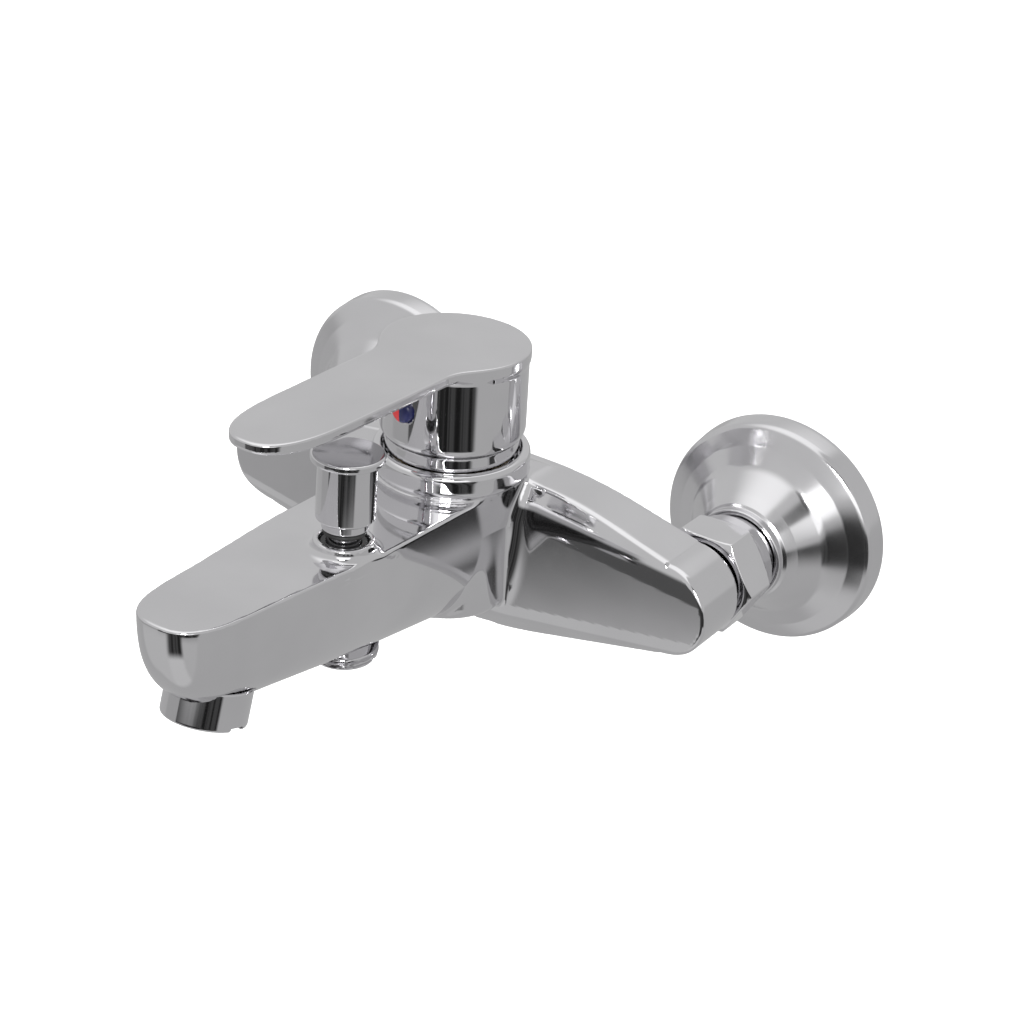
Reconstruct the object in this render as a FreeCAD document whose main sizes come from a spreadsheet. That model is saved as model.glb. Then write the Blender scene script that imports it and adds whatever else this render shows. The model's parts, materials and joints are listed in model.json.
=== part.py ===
import FreeCAD, Part
import math
import os

import Sketcher

V = FreeCAD.Vector

# Wall mounted single-lever bath and shower mixer.
# Frame: +Z up, +Y into the wall, wall face at y = 0, origin midway between the two inlets.

# Driving dimensions, millimetres and degrees.
DIMS = {
    # wall connection
    "inlet_half_spacing": 75.0,
    "rosette_rim_radius": 36.9,
    "rosette_face_radius": 36.2,
    "rosette_rim_depth": 8.0,
    "rosette_cone_radius": 29.6,
    "rosette_cone_start": 10.8,
    "rosette_neck_radius": 16.0,
    "rosette_neck_depth": 24.0,
    "rosette_lip_radius": 15.0,
    "rosette_depth": 27.0,
    "rosette_sheet": 1.2,
    "rosette_bore": 13.6,
    "tail_radius": 10.48,
    "tail_length": 22.0,
    "tail_drop": 8.0,
    "connector_radius": 12.6,
    "connector_thread_radius": 13.22,
    "connector_front": 37.2,
    "water_bore": 7.0,
    # union nut and its nipple
    "nut_flats": 30.5,
    "nut_front": 48.8,
    "nut_length": 13.4,
    "nut_bore": 10.0,
    "nut_thread_radius": 13.32,
    "nut_shoulder": 6.8,
    "nut_skirt": 4.5,
    "nipple_radius": 9.6,
    "nipple_flange_radius": 12.6,
    "nipple_flange": 2.4,
    "nipple_depth": 10.0,
    "nipple_collar_radius": 12.9,
    "nipple_collar": 1.8,
    "seal_thickness": 2.0,
    # casting
    "arm_back": 51.6,
    "arm_front": 72.2,
    "arm_end_radius": 15.2,
    "arm_root_height": 24.7,
    "arm_root_x": 36.0,
    "arm_belly_x": 15.0,
    "arm_belly_z": -30.2,
    "axis_y": -76.5,
    "collar_radius": 24.2,
    "collar_bore": 21.5,
    "collar_top": 33.4,
    "well_floor": 23.9,
    "cavity_radius": 17.7,
    "cavity_floor": -8.0,
    "spout_tip_y": -209.4,
    "spout_rise": 2.3,
    "spout_top_z": 23.6,
    "spout_bottom_rise": 8.85,
    "spout_bottom_z": -21.5,
    "diverter_x": 9.0,
    "diverter_y": -140.0,
    "diverter_z": 29.8,
    "boss_radius": 8.5,
    "outlet_y": -127.6,
    "outlet_radius": 10.48,
    "outlet_bore": 6.5,
    "outlet_end": -17.9,
    "outlet_seat": -6.0,
    "outlet_stem_radius": 8.6,
    "outlet_shoulder": -13.5,
    "outlet_seat_radius": 14.2,
    # handle, heights above the inlet line
    "cup_radius": 22.3,
    "skirt_radius": 20.6,
    "skirt_bottom": 32.3,
    "skirt_top": 37.6,
    "cup_bore": 19.0,
    "cup_roof": 58.0,
    "handle_top": 66.9,
    "lever_rise": 1.8,
    "lever_reach": 96.6,
    "lever_half_width": 14.0,
    "lever_thickness": 3.6,
    "hub_bottom": 49.0,
    "plug_z": 51.2,
    "plug_turn": -6.0,
    "plug_radius": 3.8,
    "plug_seat": 21.1,
    "plug_front": 24.1,
    "screw_radius": 2.0,
    # cartridge, heights above the inlet line
    "cartridge_radius": 17.5,
    "cartridge_roof": 15.8,
    "cartridge_shoulder": 17.3,
    "cartridge_bore": 15.2,
    "nut_seat_radius": 18.4,
    "seal_height": 1.4,
    "base_height": 5.0,
    "disc_height": 4.0,
    "fixed_disc_radius": 15.0,
    "disc_radius": 10.4,
    "carrier_height": 3.5,
    "post_top": 32.6,
    "post_wide": 6.4,
    "post_long": 7.2,
    "post_pocket": 4.8,
    "port_radius": 3.2,
    "neck_radius": 12.0,
    "neck_bore": 9.0,
    "neck_top": 45.4,
    "rotor_radius": 8.92,
    "rotor_flange_radius": 14.5,
    "rotor_top": 45.0,
    "slot_wide": 7.4,
    "pivot_z": 41.4,
    "pin_radius": 1.5,
    "spindle_wide": 7.0,
    "spindle_long": 8.0,
    "spindle_foot": 37.4,
    "spindle_top": 60.5,
    "ball_drop": 10.0,
    "ball_radius": 2.2,
    # diverter, heights above the lip of its boss
    "knob_radius": 8.6,
    "knob_cap_radius": 10.7,
    "knob_bottom": 6.5,
    "knob_cap_bottom": 24.3,
    "knob_top": 26.8,
    "stem_radius": 4.8,
    "gland_radius": 7.3,
    "gland_length": 6.0,
    "gland_seat": -8.0,
    "chamber_radius": 6.0,
    "chamber_floor": -27.8,
    # aerator, heights along the jet from the mouth of the spout
    "aerator_radius": 12.4,
    "aerator_bore": 10.5,
    "aerator_socket": -9.0,
    "aerator_shoulder": -1.8,
    "aerator_end": 9.7,
    "aerator_y": -187.2,
    "aerator_z": 0.2,
    "aerator_lean": 17.0,
}


class Size:
    """A number together with the spreadsheet expression that drives it."""

    def __init__(self, value, text):
        self.value = float(value)
        self.text = text

    def joined(self, other, sign, value):
        return Size(value, "(%s %s %s)" % (self.text, sign, other.text))

    def __add__(self, other):
        other = size(other)
        return self.joined(other, "+", self.value + other.value)

    def __sub__(self, other):
        other = size(other)
        return self.joined(other, "-", self.value - other.value)

    def __mul__(self, other):
        other = size(other)
        return self.joined(other, "*", self.value * other.value)

    def __truediv__(self, other):
        other = size(other)
        return self.joined(other, "/", self.value / other.value)

    def __neg__(self):
        return size(0) - self

    def __rsub__(self, other):
        return size(other) - self

    __radd__ = __add__
    __rmul__ = __mul__


def size(item):
    return item if isinstance(item, Size) else Size(item, "%.9g" % float(item))


class Sheet:
    """The driving dimensions, read by name: sheet.cup_radius is a Size."""

    def __init__(self, doc):
        self.cells = doc.addObject("Spreadsheet::Sheet", "Dims")
        for row, (alias, value) in enumerate(DIMS.items(), start=1):
            self.cells.set("A%d" % row, alias)
            self.cells.set("B%d" % row, "%g" % value)
            self.cells.setAlias("B%d" % row, alias)
        doc.recompute()

    def __getattr__(self, alias):
        return Size(getattr(self.cells, alias), "Dims." + alias)


def bind(target, name, length):
    """Sets a property of an object and ties it to the sheet."""
    length = size(length)
    target.setExpression(name, length.text)


def place(target, x=0, y=0, z=0, axis=None, angle=0):
    """Puts an object at a point tied to the sheet, turned about one axis."""
    turn = FreeCAD.Rotation(axis or V(0, 0, 1), angle)
    x, y, z = size(x), size(y), size(z)
    target.Placement = FreeCAD.Placement(V(x.value, y.value, z.value), turn)
    for name, length in zip("xyz", (x, y, z)):
        target.setExpression("Placement.Base." + name, length.text)


FROM_WALL = (V(1, 0, 0), 90)    # turns local +Z to -Y

# Water ports through the cartridge, from the lever's axis: two inlets behind, one outlet in front.
PORTS = ((8, 7), (-8, 7), (0, -9))


# Builders for the common kinds of piece.

def new_body(doc, label):
    body = doc.addObject("PartDesign::Body", label)
    body.Label = label
    return body


def outline_sketch(body, role, points, name="Outline"):
    """A closed outline of straight lines on one of the body's own planes, every corner bound."""
    sketch = body.newObject("Sketcher::SketchObject", name)
    plane = next(item for item in body.Origin.OriginFeatures if item.Role == role)
    sketch.AttachmentSupport = [(plane, "")]
    sketch.MapMode = "FlatFace"
    points = [(size(across), size(up)) for across, up in points]
    count = len(points)
    for index, (across, up) in enumerate(points):
        next_across, next_up = points[(index + 1) % count]
        start = V(across.value, up.value, 0)
        end = V(next_across.value, next_up.value, 0)
        sketch.addGeometry(Part.LineSegment(start, end))
    for index in range(count):
        sketch.addConstraint(Sketcher.Constraint("Coincident", index, 2, (index + 1) % count, 1))
    for index, corner in enumerate(points):
        for kind, length in zip(("DistanceX", "DistanceY"), corner):
            number = sketch.addConstraint(Sketcher.Constraint(kind, -1, 1, index, 1, length.value))
            sketch.setExpression("Constraints[%d]" % number, length.text)
    return sketch


def turned(doc, label, profile, rounds=()):
    """A turned piece: (radius, height) corners spun about the local Z axis.

    Each entry of rounds is (radius, height, fillet) and rounds the circular edge at that corner.
    """
    body = new_body(doc, label)
    sketch = outline_sketch(body, "XZ_Plane", profile)
    spin = body.newObject("PartDesign::Revolution", "Turning")
    spin.Profile = sketch
    spin.ReferenceAxis = (sketch, ["V_Axis"])
    spin.Angle = 360
    doc.recompute()
    for number, (radius, height, fillet) in enumerate(rounds):
        base = body.Tip
        edge = ring_edge(base.Shape, size(radius).value, size(height).value)
        rounding = body.newObject("PartDesign::Fillet", "Rounding%d" % number)
        rounding.Base = (base, [edge])
        rounding.Radius = size(fillet).value
        rounding.setExpression("Radius", size(fillet).text)
        doc.recompute()
    return body


def ring_edge(shape, radius, height):
    """The name of the circular edge about Z with this radius at this height."""
    for number, edge in enumerate(shape.Edges, start=1):
        curve = edge.Curve
        if not isinstance(curve, Part.Circle):
            continue
        if abs(curve.Radius - radius) < 0.01 and abs(curve.Center.z - height) < 0.01:
            return "Edge%d" % number
    raise ValueError("no ring edge at radius %g height %g" % (radius, height))


def cylinder(doc, name, radius, length, at=0):
    item = doc.addObject("Part::Cylinder", name)
    bind(item, "Radius", radius)
    bind(item, "Height", length)
    place(item, z=at)
    return item


def box(doc, name, long_x, long_y, long_z, at):
    """A box centred on the local Z axis in X and Y, standing on height `at`."""
    item = doc.addObject("Part::Box", name)
    long_x, long_y = size(long_x), size(long_y)
    bind(item, "Length", long_x)
    bind(item, "Width", long_y)
    bind(item, "Height", long_z)
    place(item, -long_x / 2, -long_y / 2, at)
    return item


def cut(doc, label, base, tools):
    """Cuts every tool from the base; several tools are first fused into one."""
    tool = tools[0]
    if len(tools) > 1:
        tool = doc.addObject("Part::MultiFuse", label + "_cutter")
        tool.Shapes = tools
    item = doc.addObject("Part::Cut", label)
    item.Base = base
    item.Tool = tool
    item.Label = label
    return item


def fuse(doc, label, parts):
    item = doc.addObject("Part::MultiFuse", label)
    item.Shapes = parts
    item.Label = label
    return item


def common(doc, label, first, second):
    item = doc.addObject("Part::MultiCommon", label)
    item.Shapes = [first, second]
    item.Label = label
    return item


def washer(doc, label, outer, inner, thickness):
    """A flat ring standing on z = 0."""
    return turned(doc, label, [(inner, 0), (outer, 0), (outer, thickness), (inner, thickness)])


def o_ring(doc, label, radius, section):
    """A rubber ring: a circle of this section swept round at this mean radius."""
    item = doc.addObject("Part::Torus", label)
    item.Label = label
    bind(item, "Radius1", radius)
    bind(item, "Radius2", size(section) / 2)
    return item


# Wall connection: one eccentric connector, rosette and union per side. Local +Z points off the wall.

def rosette(doc, d, label, x):
    profile = [
        (d.rosette_rim_radius, 0),
        (d.rosette_face_radius, d.rosette_rim_depth),
        (d.rosette_cone_radius, d.rosette_cone_start),
        (d.rosette_neck_radius, d.rosette_neck_depth),
        (d.rosette_lip_radius, d.rosette_neck_depth + 0.6),
        (d.rosette_lip_radius, d.rosette_depth),
        (d.rosette_bore, d.rosette_depth),
        (d.rosette_bore, d.rosette_neck_depth - 1.0),
        (d.rosette_cone_radius - 1.0, d.rosette_cone_start - 1.8),
        (d.rosette_face_radius - 1.5, d.rosette_rim_depth - 1.8),
        (d.rosette_rim_radius - d.rosette_sheet, 0),
    ]
    rounds = [
        (d.rosette_face_radius, d.rosette_rim_depth, 2.6),
        (d.rosette_cone_radius, d.rosette_cone_start, 6.0),
        (d.rosette_neck_radius, d.rosette_neck_depth, 0.8),
    ]
    body = turned(doc, label, profile, rounds)
    place(body, x, 0, 0, *FROM_WALL)
    return body


def offset_loft(doc, d, label, tail_radius, front_radius):
    """A round passage that steps from the wall thread's axis to the union's axis."""
    rings = []
    for name, radius, height, drop in (("low", tail_radius, 2, d.tail_drop), ("high", front_radius, 16, 0)):
        ring = doc.addObject("Part::Circle", "%s_%s" % (label, name))
        bind(ring, "Radius", radius)
        place(ring, 0, -size(drop), height)
        rings.append(ring)
    loft = doc.addObject("Part::Loft", label)
    loft.Sections = rings
    loft.Solid = True
    return loft


def eccentric_connector(doc, d, label, x):
    """The offset pipe piece that is screwed into the wall and carries the union thread."""
    tail = cylinder(doc, label + "_tail", d.tail_radius, d.tail_length + 2, -d.tail_length)
    bind(tail, "Placement.Base.y", -d.tail_drop)
    swan = offset_loft(doc, d, label + "_swan", d.tail_radius + 0.6, d.connector_radius)
    front = cylinder(doc, label + "_front", d.connector_thread_radius, d.connector_front - 16, 16)
    outside = fuse(doc, label + "_outside", [tail, swan, front])
    bore_tail = cylinder(doc, label + "_bore_tail", d.water_bore - 0.5, d.tail_length + 3, -d.tail_length - 1)
    bind(bore_tail, "Placement.Base.y", -d.tail_drop)
    bore_swan = offset_loft(doc, d, label + "_bore_swan", d.water_bore - 0.5, d.water_bore)
    bore_front = cylinder(doc, label + "_bore_front", d.water_bore, d.connector_front - 15, 16)
    item = cut(doc, label, outside, [bore_tail, bore_swan, bore_front])
    place(item, x, 0, 0, *FROM_WALL)
    return item


def union_nut(doc, d, label, x):
    """Captive hexagon nut: flange wall in front, internal thread and a round skirt behind."""
    back = d.nut_front - d.nut_length
    hexagon = doc.addObject("Part::Prism", label + "_hexagon")
    hexagon.Polygon = 6
    bind(hexagon, "Circumradius", d.nut_flats / math.sqrt(3))
    bind(hexagon, "Height", d.nut_length)
    place(hexagon, z=back)
    profile = [
        (0, back),
        (d.nut_flats / 2 + 0.2, back),
        (d.nut_flats / 2 + 2.6, back + 1.3),
        (d.nut_flats / 2 + 2.6, d.nut_front - 1.3),
        (d.nut_flats / 2 + 0.2, d.nut_front),
        (0, d.nut_front),
    ]
    bevel = turned(doc, label + "_bevel", profile)
    bevelled = common(doc, label + "_bevelled", hexagon, bevel)
    skirt = cylinder(doc, label + "_skirt", d.nut_flats / 2 - 0.2, d.nut_skirt, back - d.nut_skirt)
    outside = fuse(doc, label + "_outside", [bevelled, skirt])
    bore = cylinder(doc, label + "_bore", d.nut_bore, d.nut_length, back + 2)
    thread_length = d.nut_length + d.nut_skirt - d.nut_shoulder
    threads = cylinder(doc, label + "_threads", d.nut_thread_radius, thread_length, back - d.nut_skirt)
    item = cut(doc, label, outside, [bore, threads])
    place(item, x, 0, 0, *FROM_WALL)
    return item


def inlet_nipple(doc, d, label, x):
    """Tube screwed into the arm, whose flange holds the union nut captive."""
    flange_back = d.connector_front + d.seal_thickness
    profile = [
        (d.water_bore, flange_back),
        (d.nipple_flange_radius, flange_back),
        (d.nipple_flange_radius, flange_back + d.nipple_flange),
        (d.nipple_radius, flange_back + d.nipple_flange),
        (d.nipple_radius, d.arm_back - d.nipple_collar),
        (d.nipple_collar_radius, d.arm_back - d.nipple_collar),
        (d.nipple_collar_radius, d.arm_back),
        (d.nipple_radius, d.arm_back),
        (d.nipple_radius, d.arm_back + d.nipple_depth),
        (d.water_bore, d.arm_back + d.nipple_depth),
    ]
    body = turned(doc, label, profile)
    place(body, x, 0, 0, *FROM_WALL)
    return body


def union_seal(doc, d, label, x):
    body = washer(doc, label, d.nipple_flange_radius - 0.2, d.water_bore + 0.5, d.seal_thickness)
    place(body, x, -d.connector_front, 0, *FROM_WALL)
    return body


# Casting. Its outside is worked from sections that no single sketch feature gives.

def tangent_point(corner, centre, radius, side):
    """Where the tangent from a corner touches a circle, both as (x, z)."""
    run = centre[0] - corner[0]
    rise = centre[1] - corner[1]
    reach = math.hypot(run, rise)
    turn = math.atan2(rise, run) + side * math.asin(radius / reach)
    length = math.sqrt(reach ** 2 - radius ** 2)
    return corner[0] + length * math.cos(turn), corner[1] + length * math.sin(turn)


def arm_block(d):
    """Both arms and the middle of the casting: a tapered bar with round ends, seen along Y."""
    end_x = d.inlet_half_spacing.value
    radius = d.arm_end_radius.value
    top = (d.arm_root_x.value, d.arm_root_height.value)
    bottom = (d.arm_belly_x.value, d.arm_belly_z.value)
    top_touch = tangent_point(top, (end_x, 0), radius, 1)
    bottom_touch = tangent_point(bottom, (end_x, 0), radius, -1)
    y = -d.arm_back.value

    def at(point, sign=1):
        return V(sign * point[0], y, point[1])

    tip = (end_x + radius, 0)
    edges = []
    for sign in (1, -1):
        edges.append(Part.makeLine(at(top, sign), at(top_touch, sign)))
        edges.append(Part.Arc(at(top_touch, sign), at(tip, sign), at(bottom_touch, sign)).toShape())
        edges.append(Part.makeLine(at(bottom_touch, sign), at(bottom, sign)))
    edges.append(Part.makeLine(at(top, 1), at(top, -1)))
    edges.append(Part.makeLine(at(bottom, 1), at(bottom, -1)))
    wire = Part.Wire(Part.__sortEdges__(edges))
    depth = d.arm_front.value - d.arm_back.value
    bar = Part.Face(wire).extrude(V(0, -depth, 0))
    wedges = []
    for sign in (1, -1):
        wedges.append(leaning_wedge(d, sign, PANEL_TOP, 23.0, 1))
        wedges.append(leaning_wedge(d, sign, PANEL_BOTTOM, 32.0, -1))
    return bar.cut(wedges)


# Edges of the flat front panel of an arm: height at the spout end, and rise per mm outwards.
PANEL_TOP = (17.4, -0.095)
PANEL_BOTTOM = (-23.0, 0.165)


def leaning_wedge(d, sign, panel_edge, lean, up):
    """A wedge that leans the front of an arm back, above (up=1) or below (up=-1) its flat panel."""
    start_x = 12.0
    run = 90.0
    rise = 30.0
    height, slope = panel_edge
    front = -d.arm_front.value
    x = sign * start_x
    leaned = front + rise * math.tan(math.radians(lean))
    corners = [
        V(x, front, height),
        V(x, leaned, height + up * rise),
        V(x, front - 1, height + up * rise),
        V(x, front - 1, height),
    ]
    face = Part.Face(Part.makePolygon(corners + corners[:1]))
    return face.extrude(V(sign * run, 0, slope * run))


def spout_section(d, share):
    """One slice of the spout at this share of its depth: a closed tongue, square shouldered."""
    axis_y = d.axis_y.value
    tip = d.spout_tip_y.value
    root = -60.0
    top_slope = math.tan(math.radians(d.spout_rise.value))
    bottom_slope = math.tan(math.radians(d.spout_bottom_rise.value))
    narrowing = (1.0 - share ** 3) ** (1.0 / 3.0)
    setback = 14.0 * share ** 3.4
    plan = [(19.4, root), (19.2, -118.0), (18.6, -142.0), (16.6, -165.0), (14.9, -189.0), (11.3, -202.5), (0.0, tip)]

    def at(x, y):
        along = (y - root) / (tip - root)
        y += setback * along ** 3
        top = d.spout_top_z.value + top_slope * (axis_y - y)
        bottom = d.spout_bottom_z.value + bottom_slope * (axis_y - y)
        return V(x * narrowing, y, top + (bottom - top) * share)

    forwards = at(0, root - 1) - at(0, root)
    curve = Part.BSplineCurve()
    curve.interpolate(Points=[at(x, y) for x, y in plan], InitialTangent=forwards, FinalTangent=V(-1, 0, 0))
    right = curve.toShape()
    left = right.mirror(V(0, 0, 0), V(1, 0, 0))
    start = at(*plan[0])
    return Part.Wire([right, left, Part.makeLine(V(-start.x, start.y, start.z), start)])


def spout_block(d):
    """The spout: stacked slices from its flat top to its narrow underside."""
    shares = (0.0, 0.2, 0.45, 0.65, 0.8, 0.9, 0.965, 0.99)
    return Part.makeLoft([spout_section(d, share) for share in shares], True, True)


def upright(radius, bottom, top, x=0.0, y=0.0):
    """A vertical cylinder between two heights."""
    return Part.makeCylinder(radius, top - bottom, V(x, y, bottom), V(0, 0, 1))


def drilled(radius, start, end):
    """A straight bore between two points."""
    line = end - start
    return Part.makeCylinder(radius, line.Length, start, line)


def aerator_axis(d):
    """The way the water leaves the spout: down, and forward off the wall."""
    lean = math.radians(d.aerator_lean.value)
    return V(0, -math.sin(lean), -math.cos(lean))


def aerator_point(d, along):
    """A point on the axis of the aerator, this far out from the mouth of the spout."""
    return V(0, d.aerator_y.value, d.aerator_z.value) + aerator_axis(d) * along


def diverter_point(d, along):
    """A point on the axis of the diverter, this far above the lip of its boss."""
    lean = math.radians(d.spout_rise.value)
    lip = V(d.diverter_x.value, d.diverter_y.value, d.diverter_z.value)
    return lip + V(0, math.sin(lean), math.cos(lean)) * along


def mixer_body(doc, d):
    """The brass casting: arms, spout, collar, diverter boss and hose outlet, with its waterways."""
    axis_y = d.axis_y.value
    collar_foot = 25.6
    flare_foot = 15.0
    side = 19.6
    collar = upright(d.collar_radius.value, collar_foot, d.collar_top.value, 0, axis_y)
    rim = [edge for edge in collar.Edges if edge.BoundBox.ZMin > d.collar_top.value - 0.01]
    collar = collar.makeFillet(1.2, rim)
    flare = Part.makeCone(side, d.collar_radius.value - 0.3, collar_foot - flare_foot, V(0, axis_y, flare_foot))
    belly = upright(side, -19.5, flare_foot, 0, axis_y)
    boss = drilled(d.boss_radius.value, diverter_point(d, -9), diverter_point(d, 0))
    solid = arm_block(d)
    for lump in (spout_block(d), collar, flare, belly, boss):
        solid = solid.fuse(lump)
    for bore in waterways(d):
        solid = solid.cut(bore)
    body = doc.addObject("Part::Feature", "mixer_body")
    body.Label = "mixer_body"
    body.Shape = solid.Solids[0] if len(solid.Solids) == 1 else solid
    body.Placement = FreeCAD.Placement()
    return body


def waterways(d):
    """Everything bored out of the casting, as one list of cutters."""
    axis_y = d.axis_y.value
    floor = d.cavity_floor.value
    cavity = upright(d.cavity_radius.value, floor, d.collar_top.value, 0, axis_y)
    nut_seat = upright(d.nut_seat_radius.value, d.cartridge_shoulder.value, d.collar_top.value, 0, axis_y)
    well = upright(d.collar_bore.value, d.well_floor.value, d.collar_top.value + 1, 0, axis_y)
    cutters = [cavity, nut_seat, well]
    back = -d.arm_back.value
    supply = back - d.nipple_depth.value
    port = d.port_radius.value
    for side in (1, -1):
        x = side * d.inlet_half_spacing.value
        cutters.append(drilled(d.nipple_radius.value, V(x, back + 1, 0), V(x, supply, 0)))
        cutters.append(drilled(d.water_bore.value - 1.5, V(x, back, 0), V(x, supply - 5, 0)))
        cutters.append(drilled(4.4, V(x, supply - 1, 0), V(side * 8, axis_y + 8, floor - 5)))
    for across, along in PORTS:
        cutters.append(upright(port, floor - 5.5, floor + 1, across, axis_y + along))
    chamber = diverter_point(d, d.chamber_floor.value)
    gland_seat = diverter_point(d, d.gland_seat.value)
    cutters.append(drilled(4.0, V(0, axis_y - 8, floor - 4), V(chamber.x, chamber.y + 2, 6.0)))
    cutters.append(drilled(d.chamber_radius.value, chamber, gland_seat))
    cutters.append(drilled(d.gland_radius.value + 0.05, gland_seat, diverter_point(d, 1)))
    mouth = aerator_point(d, d.aerator_socket.value)
    cutters.append(drilled(5.2, V(chamber.x - 1, chamber.y, 11.0), V(mouth.x, mouth.y, 11.0)))
    cutters.append(drilled(d.aerator_bore.value, mouth, aerator_point(d, 30)))
    cutters.append(drilled(d.aerator_radius.value + 0.15, aerator_point(d, d.aerator_shoulder.value),
                           aerator_point(d, 30)))
    outlet = V(0, d.outlet_y.value, d.outlet_seat.value)
    shoulder = V(0, d.outlet_y.value, d.outlet_shoulder.value)
    cutters.append(drilled(d.outlet_stem_radius.value, shoulder, outlet))
    cutters.append(drilled(d.outlet_seat_radius.value, shoulder + V(0, 0, -12), shoulder))
    cutters.append(drilled(4.0, outlet + V(0, 0, -1), V(chamber.x - 2, chamber.y + 2, 5.0)))
    return cutters


def outlet_nipple(doc, d):
    """Half-inch male stub for the shower hose, screwed into the underside of the spout."""
    length = d.outlet_seat - d.outlet_end
    shoulder = d.outlet_shoulder - d.outlet_end
    profile = [
        (d.outlet_bore, 0),
        (d.outlet_radius, 0),
        (d.outlet_radius, shoulder),
        (d.outlet_stem_radius - 0.05, shoulder),
        (d.outlet_stem_radius - 0.05, length),
        (d.outlet_bore, length),
    ]
    body = turned(doc, "outlet_nipple", profile)
    place(body, 0, d.outlet_y, d.outlet_end)
    return body


# Cartridge. Every piece is drawn about the lever's axis and placed at its height.

def on_axis(item, d, height=0):
    place(item, 0, d.axis_y, height)
    return item


def port_cutters(doc, d, label, radius, length):
    """Two inlet ports at the back and one outlet port at the front."""
    items = []
    for number, (x, y) in enumerate(PORTS):
        port = cylinder(doc, "%s_port%d" % (label, number), radius, length + 2, -1)
        bind(port, "Placement.Base.x", x)
        bind(port, "Placement.Base.y", y)
        items.append(port)
    return items


def ported_disc(doc, d, label, radius, thickness, height):
    blank = cylinder(doc, label + "_blank", radius, thickness)
    item = cut(doc, label, blank, port_cutters(doc, d, label, d.port_radius, thickness))
    return on_axis(item, d, height)


def cartridge_port_seals(doc, d):
    """Three rubber rings between the floor of the casting and the cartridge."""
    rings = []
    for number, (x, y) in enumerate(PORTS):
        ring = o_ring(doc, "port_seal_%d" % number, d.port_radius + 1.2, d.seal_height)
        place(ring, x, y, d.seal_height / 2)
        rings.append(ring)
    return on_axis(fuse(doc, "cartridge_port_seals", rings), d, d.cavity_floor)


def moving_disc(doc, d, height):
    """Ceramic disc with a mixing pocket in its underside."""
    blank = cylinder(doc, "moving_disc_blank", d.disc_radius, d.disc_height)
    pocket = cylinder(doc, "moving_disc_pocket", d.disc_radius - 2.6, 2, -0.5)
    return on_axis(cut(doc, "moving_disc", blank, [pocket]), d, height)


def disc_carrier(doc, d, height):
    """Plastic carrier: a plate on the ceramic disc and a post that the ball of the spindle moves."""
    plate = cylinder(doc, "disc_carrier_plate", d.disc_radius, d.carrier_height)
    post = box(doc, "disc_carrier_post", d.post_wide, d.post_long, d.post_top - height, 0)
    outside = fuse(doc, "disc_carrier_outside", [plate, post])
    depth = d.ball_radius * 2 + 0.9
    pocket = box(doc, "disc_carrier_pocket", d.post_pocket, d.post_pocket, depth + 1, d.post_top - height - depth)
    return on_axis(cut(doc, "disc_carrier", outside, [pocket]), d, height)


def cartridge_housing(doc, d, height):
    """Plastic shell: a can over the discs and a long neck that the rotor turns in."""
    profile = [
        (d.cartridge_bore, 0),
        (d.cartridge_radius, 0),
        (d.cartridge_radius, d.cartridge_shoulder - height),
        (d.neck_radius, d.cartridge_shoulder - height),
        (d.neck_radius, d.neck_top - height),
        (d.neck_bore, d.neck_top - height),
        (d.neck_bore, d.cartridge_roof - height),
        (d.cartridge_bore, d.cartridge_roof - height),
    ]
    return on_axis(turned(doc, "cartridge_housing", profile), d, height)


def cartridge_rotor(doc, d, height):
    """Turns in the neck with the lever. A slot, open at the front, guides spindle and post."""
    flange = cylinder(doc, "rotor_flange", d.rotor_flange_radius, d.cartridge_roof - 0.3 - height)
    shaft = cylinder(doc, "rotor_shaft", d.rotor_radius, d.rotor_top - height)
    outside = fuse(doc, "rotor_outside", [flange, shaft])
    front = 11.0
    back = 6.6
    slot = box(doc, "rotor_slot", d.slot_wide, front + back, d.rotor_top + 2 - height, -1)
    bind(slot, "Placement.Base.y", -front)
    hole = cross_pin(doc, d, "rotor_pin_hole", d.pin_radius, 40, height)
    return on_axis(cut(doc, "cartridge_rotor", outside, [slot, hole]), d, height)


def cross_pin(doc, d, name, radius, length, height):
    """A cylinder along X at the height of the pivot."""
    pin = cylinder(doc, name, radius, length)
    length = size(length)
    place(pin, -length / 2, 0, d.pivot_z - height, V(0, 1, 0), 90)
    return pin


def pivot_pin(doc, d):
    pin = doc.addObject("Part::Cylinder", "pivot_pin")
    pin.Label = "pivot_pin"
    length = d.rotor_radius * 2 - 1.2
    bind(pin, "Radius", d.pin_radius)
    bind(pin, "Height", length)
    place(pin, -length / 2, d.axis_y, d.pivot_z, V(0, 1, 0), 90)
    return pin


def lever_spindle(doc, d):
    """Steel bar from the handle down through the pivot pin, ending in a ball in the carrier."""
    ball_height = d.pivot_z - d.ball_drop
    bar = box(doc, "spindle_bar", d.spindle_wide, d.spindle_long, d.spindle_top - d.spindle_foot, d.spindle_foot)
    rod = cylinder(doc, "spindle_rod", 1.4, d.spindle_foot + 1 - ball_height, ball_height)
    ball = doc.addObject("Part::Sphere", "spindle_ball")
    bind(ball, "Radius", d.ball_radius)
    place(ball, 0, 0, ball_height)
    outside = fuse(doc, "spindle_outside", [bar, rod, ball])
    hole = cross_pin(doc, d, "spindle_pin_hole", d.pin_radius + 0.04, 20, 0)
    return on_axis(cut(doc, "lever_spindle", outside, [hole]), d)


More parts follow.
